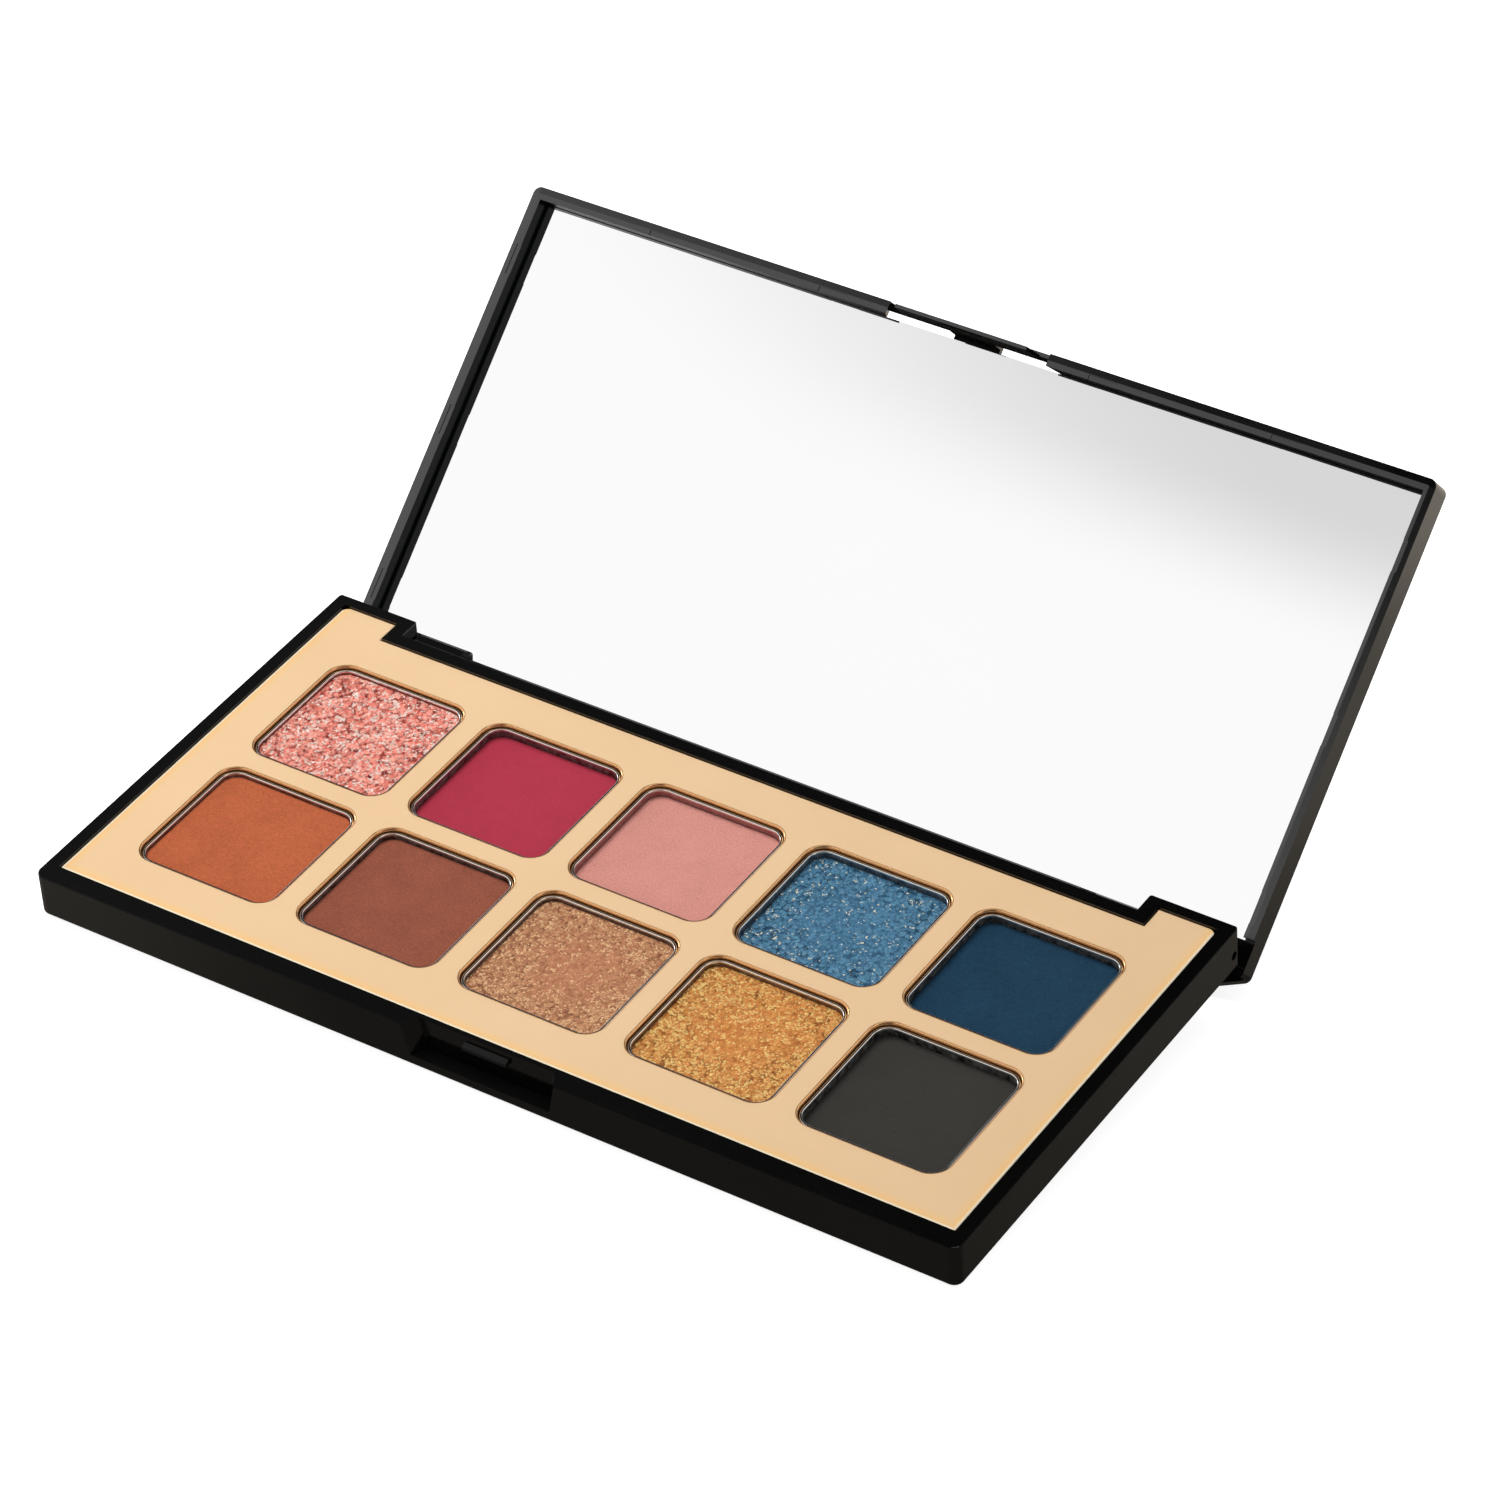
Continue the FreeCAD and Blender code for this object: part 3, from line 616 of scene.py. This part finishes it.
def glitter_powder(name, node, dark, body, light, bright_flake_highlight, smooth, flake, clump, share, lean,
                   rough, metal, calm=0.0):
    """Powder with flakes. Each small cell is one flake with its own tone and lean, and a share of them is bright:
    partly the flakes' own brightness, partly a painted highlight. Large cells are clumps with painted shade in the
    gaps between them. calm is how far the middle of the cake is smoothed, to the smooth colour."""
    m = Nodes(name)
    m.set(Specular_IOR_Level=0.5)
    lo, hi = local_box(node)
    dx = m.minus(m.channel(m.coords, 0), (lo[0] + hi[0]) / 2 + 1.5 * MM)
    dy = m.minus(m.channel(m.coords, 1), (lo[1] + hi[1]) / 2 + 0.5 * MM)
    wander = m.times(m.minus(m.noise(260.0, 3.0, 0.6), 0.5), 14 * MM)
    reach = m.plus(m.length(dx, dy), wander)
    still = m.span(reach, 10.0 * MM, 3.5 * MM, 0.0, calm, smooth=True)
    live = m.minus(1.0, still)
    cell = m.cells(flake)
    lump = m.cells(clump)
    own = cell.outputs["Color"]
    shared = lump.outputs["Color"]
    pick = m.plus(m.times(m.channel(own, 0), 0.7), m.times(m.channel(shared, 0), 0.3))
    tone = m.plus(m.times(m.channel(own, 1), 0.5), m.times(m.channel(shared, 1), 0.5))
    # Painted shade: the gaps between clumps are blended to the dark colour.
    gap_shade = m.times(m.span(lump.outputs["Distance"], 0.50, 0.85), live)
    ground = m.blend(m.span(tone, 0.15, 0.85), linear(*body), linear(*light))
    ground = m.blend(gap_shade, ground, linear(*dark))
    ground = m.blend(still, ground, linear(*smooth))
    # Partly painted highlight: a share of the flakes takes the bright colour.
    level = m.minus(1.0, m.times(live, share))
    shine = m.span(m.minus(pick, level), -0.02, 0.02)
    m.feed("Base Color", m.blend(shine, ground, linear(*bright_flake_highlight)))
    m.feed("Metallic", m.times(m.plus(0.35, m.times(live, 0.65)), metal))
    m.feed("Roughness", m.plus(m.span(tone, 0.0, 1.0, rough, rough + 0.18), m.times(still, 0.2)))
    offset = m.vector_math("SUBTRACT", own, (0.5, 0.5, 0.5))
    lean_here = m.times(m.minus(1.0, m.times(still, 0.7)), lean)
    leaned = m.vector_math("ADD", m.surface_normal(), m.vector_math("SCALE", offset, scale=lean_here))
    m.feed("Normal", m.vector_math("NORMALIZE", leaned))
    return m.material


MATTE_PITCH = 0.2
FOIL_PITCH = 0.12
FIRST_SEED = 101            # of the first cake's relief; each next cake's is one more
SHADES = [
    # node, relief, grid pitch, crown, drop of the edge, dust and painted shade on the pan's wall, material
    ("powder_01_rose_foil", foil_relief(0.56, 0.40, 0.055, 0.10, uneven=0.03),
     FOIL_PITCH, 0.10, 0.04, (150, 66, 58),
     glitter_powder("powder_rose_foil", "powder_01_rose_foil",
                    dark=(146, 50, 40), body=(228, 118, 103), light=(249, 172, 154),
                    bright_flake_highlight=(255, 228, 216), smooth=(228, 118, 103), flake=2900.0, clump=1150.0,
                    share=0.30, lean=1.0, rough=0.28, metal=0.32)),
    ("powder_02_raspberry", matte_relief(0.004, 0.012),
     MATTE_PITCH, 0.08, 0.03, (96, 18, 32),
     matte_powder("powder_raspberry", (156, 46, 63))),
    ("powder_03_dusty_pink", matte_relief(0.010, 0.016),
     MATTE_PITCH, 0.08, 0.03, (170, 96, 90),
     matte_powder("powder_dusty_pink", (190, 129, 119), 0.75, 1.22)),
    ("powder_04_steel_blue", foil_relief(0.30, 0.34, 0.018, 0.3, stretch=1.1),
     FOIL_PITCH, 0.08, 0.03, (24, 50, 72),
     glitter_powder("powder_steel_blue", "powder_04_steel_blue",
                    dark=(24, 68, 95), body=(51, 99, 132), light=(99, 152, 182),
                    bright_flake_highlight=(232, 228, 206), smooth=(51, 99, 132), flake=4200.0, clump=1700.0,
                    share=0.13, lean=0.6, rough=0.38, metal=0.4, calm=0.3)),
    ("powder_05_navy", matte_relief(0.005, 0.012, dents=9, dent_depth=0.06),
     MATTE_PITCH, 0.08, 0.03, (8, 16, 24),
     matte_powder("powder_navy", (21, 50, 70), 0.60, 1.42)),
    ("powder_06_terracotta", matte_relief(0.005, 0.02),
     MATTE_PITCH, 0.10, 0.02, (120, 52, 28),
     matte_powder("powder_terracotta", (166, 86, 54), 0.68, 1.28)),
    ("powder_07_brown", matte_relief(0.006, 0.014),
     MATTE_PITCH, 0.08, 0.03, (72, 34, 24),
     matte_powder("powder_brown", (131, 73, 56), 0.64, 1.34)),
    ("powder_08_bronze", foil_relief(0.34, 0.26, 0.012, 0.6, stretch=1.8),
     FOIL_PITCH, 0.08, 0.03, (96, 60, 40),
     glitter_powder("powder_bronze", "powder_08_bronze",
                    dark=(138, 84, 56), body=(174, 112, 78), light=(205, 151, 108),
                    bright_flake_highlight=(240, 195, 147), smooth=(179, 112, 82), flake=4100.0, clump=1500.0,
                    share=0.30, lean=0.7, rough=0.34, metal=0.45, calm=0.35)),
    ("powder_09_gold", foil_relief(0.38, 0.30, 0.018, 0.5, stretch=1.4),
     FOIL_PITCH, 0.08, 0.03, (120, 76, 24),
     glitter_powder("powder_gold", "powder_09_gold",
                    dark=(150, 84, 32), body=(200, 122, 54), light=(230, 165, 90),
                    bright_flake_highlight=(253, 212, 132), smooth=(205, 124, 58), flake=3800.0, clump=1400.0,
                    share=0.36, lean=0.8, rough=0.31, metal=0.5, calm=0.3)),
    ("powder_10_charcoal", matte_relief(0.005, 0.012, dents=7),
     MATTE_PITCH, 0.08, 0.03, (16, 15, 14),
     matte_powder("powder_charcoal", (49, 48, 45))),
]

for seed, (node, relief, pitch, crown, drop, dust_and_shade, material) in enumerate(SHADES, FIRST_SEED):
    # A node's name is powder_, two digits, _ and the shade's own name.
    digits = node[7:9]
    pan = "pan_" + digits
    piece = cake("cake_" + node[7:], node, relief, pitch, crown, drop, seed)
    piece.data.materials.append(material)
    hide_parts(node)
    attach(piece, "base")
    use(tin("tin_" + digits, pan, dust_and_shade), pan)

# ---------------------------------------------------------------- floor
FLOOR_HALF = 3.0
floor_corners = [(-FLOOR_HALF, -FLOOR_HALF, 0), (FLOOR_HALF, -FLOOR_HALF, 0),
                 (FLOOR_HALF, FLOOR_HALF, 0), (-FLOOR_HALF, FLOOR_HALF, 0)]
floor_mesh = bpy.data.meshes.new("floor")
floor_mesh.from_pydata(floor_corners, [], [(0, 1, 2, 3)])
floor = bpy.data.objects.new("floor", floor_mesh)
bpy.context.scene.collection.objects.link(floor)
paper = Nodes("paper")
paper.set(Specular_IOR_Level=0.0, Roughness=1.0)
fibre = paper.noise(40.0, 3.0, 0.6)
paper.feed("Base Color", paper.blend(fibre, (0.52, 0.52, 0.52, 1), (0.54, 0.54, 0.54, 1)))
paper.set(Emission_Color=(1, 1, 1, 1), Emission_Strength=0.84)
floor_mesh.materials.append(paper.material)
floor.visible_glossy = False

# ---------------------------------------------------------------- light
world = bpy.data.worlds.new("studio")
bpy.context.scene.world = world
world.use_nodes = True


class Sky(Nodes):
    """The studio round the object, as brightness by direction."""

    def __init__(self, tree):
        self.tree = tree
        self.coords = tree.nodes.new("ShaderNodeTexCoord").outputs["Generated"]


sky = Sky(world.node_tree)
to_right = sky.channel(sky.coords, 0)
to_back = sky.channel(sky.coords, 1)
to_top = sky.channel(sky.coords, 2)
above = sky.span(to_top, -0.05, 0.15, smooth=True)

# White panel at the front left. Its upper edge slants down to the right and is soft, and one
# corner of it is darker.
PANEL_SLANT = 1.35
tilt = sky.plus(to_top, sky.times(to_back, PANEL_SLANT))
slant = sky.plus(tilt, sky.times(to_right, PANEL_SLANT))
corner = sky.times(sky.span(slant, -0.72, -0.56, smooth=True),
                   sky.span(tilt, -0.075, -0.035, smooth=True))
panel = sky.span(slant, -0.385, -0.54, 0.0, 1.03, smooth=True)
panel = sky.times(panel, sky.minus(1.0, sky.times(corner, 0.29)))
panel = sky.times(panel, sky.span(to_right, 0.30, -0.10, smooth=True))

# Ceiling strip, from side to side.
ceiling = sky.times(sky.span(to_back, 0.40, 0.15, smooth=True),
                    sky.span(to_back, -0.36, -0.16, smooth=True))

# Fill cards at the back, right and left of the dark middle.
card_right = sky.times(sky.span(to_right, -0.10, 0.20, smooth=True),
                       sky.span(to_back, 0.25, 0.45, smooth=True))
card_left = sky.times(sky.span(to_right, -0.64, -0.74, smooth=True),
                      sky.span(to_back, 0.15, 0.35, smooth=True))
card = sky.highest(card_right, card_left)

WHITE = 0.95                # brightness of the ceiling strip and the cards
level = sky.highest(sky.times(sky.highest(ceiling, card), WHITE), panel)
# The rest is nearly black, a little lighter at the far left and at the front right.
level = sky.highest(level, sky.span(to_right, -0.38, -0.56, 0.005, 0.07))
dim_front = sky.times(sky.span(to_right, 0.25, 0.45), sky.span(to_back, -0.20, -0.40))
level = sky.highest(level, sky.times(dim_front, 0.12))
level = sky.times(level, above)

# The table as the walls mirror it. At the back it brightens upwards in three steps, to the
# white sweep. At the front it is dark, and lighter at the far left.
at_back = sky.span(to_top, -0.64, -0.585, 0.06, 0.13)
at_back = sky.plus(at_back, sky.span(to_top, -0.585, -0.57, 0.0, 0.16, smooth=True))
at_back = sky.plus(at_back, sky.span(to_top, -0.548, -0.53, 0.0, 0.55, smooth=True))
at_front = sky.span(to_right, -0.50, -0.54, 0.07, 0.22)
ground = sky.plus(sky.times(at_back, sky.span(to_back, -0.15, 0.25)),
                  sky.times(at_front, sky.span(to_back, 0.25, -0.15)))
ground = sky.times(ground, sky.minus(1.0, above))
tint = sky.blend(above, (1.0, 0.90, 0.76, 1), (1.0, 1.0, 1.0, 1))

# Past the floor's edge the backdrop itself is plain and white.
backdrop = world.node_tree.nodes.new("ShaderNodeLightPath").outputs["Is Camera Ray"]
studio = sky.times(sky.plus(level, ground), sky.minus(1.0, backdrop))
background = world.node_tree.nodes["Background"]
sky.link(sky.blend(backdrop, tint, (1.0, 1.0, 1.0, 1)), background.inputs["Color"])
sky.link(sky.plus(studio, backdrop), background.inputs["Strength"])


def softbox(name, direction, distance, size, radiance, glossy=True):
    """A square lamp of that size, in that direction from the object's middle."""
    target = (Vector(cad_box[0]) + Vector(cad_box[1])) / 2
    lamp = bpy.data.lights.new(name, "AREA")
    lamp.shape = "SQUARE"
    lamp.size = size
    lamp.energy = radiance * math.pi * size * size
    spot = bpy.data.objects.new(name, lamp)
    bpy.context.scene.collection.objects.link(spot)
    way = Vector(direction).normalized()
    spot.location = target + way * distance
    spot.rotation_mode = "QUATERNION"
    spot.rotation_quaternion = way.to_track_quat("Z", "Y")
    spot.visible_glossy = glossy


softbox("key", (-0.53, 0.30, 0.79), distance=0.85, size=0.45, radiance=12.4, glossy=False)
softbox("glint", (-0.97, 0.15, 0.20), distance=1.2, size=0.34, radiance=7.0)

# ---------------------------------------------------------------- camera
# Its place, aim and roll are given in the palette's own frame, in metres.
CAMERA_AT = Vector((0.38852, -0.50803, 0.55248))
CAMERA_AIM = Vector((-0.00097, 0.03224, 0.01000))
CAMERA_ROLL = math.radians(-4.095)
CAMERA_LENS = 147.84
camera = bpy.data.cameras.new("camera")
camera.sensor_width = 36.0
camera.lens = CAMERA_LENS
camera.clip_start = 0.01
camera.clip_end = 50.0
eye = bpy.data.objects.new("camera", camera)
bpy.context.scene.collection.objects.link(eye)
forward = (CAMERA_AIM - CAMERA_AT).normalized()
level_right = forward.cross(Vector((0, 0, 1))).normalized()
level_up = level_right.cross(forward)
camera_right = level_right * math.cos(CAMERA_ROLL) + level_up * math.sin(CAMERA_ROLL)
camera_up = level_up * math.cos(CAMERA_ROLL) - level_right * math.sin(CAMERA_ROLL)
turn = Matrix((camera_right, camera_up, -forward)).transposed().to_4x4()
turn.translation = CAMERA_AT
eye.matrix_world = PALETTE @ turn
bpy.context.scene.camera = eye
bpy.context.scene.view_settings.view_transform = "Standard"
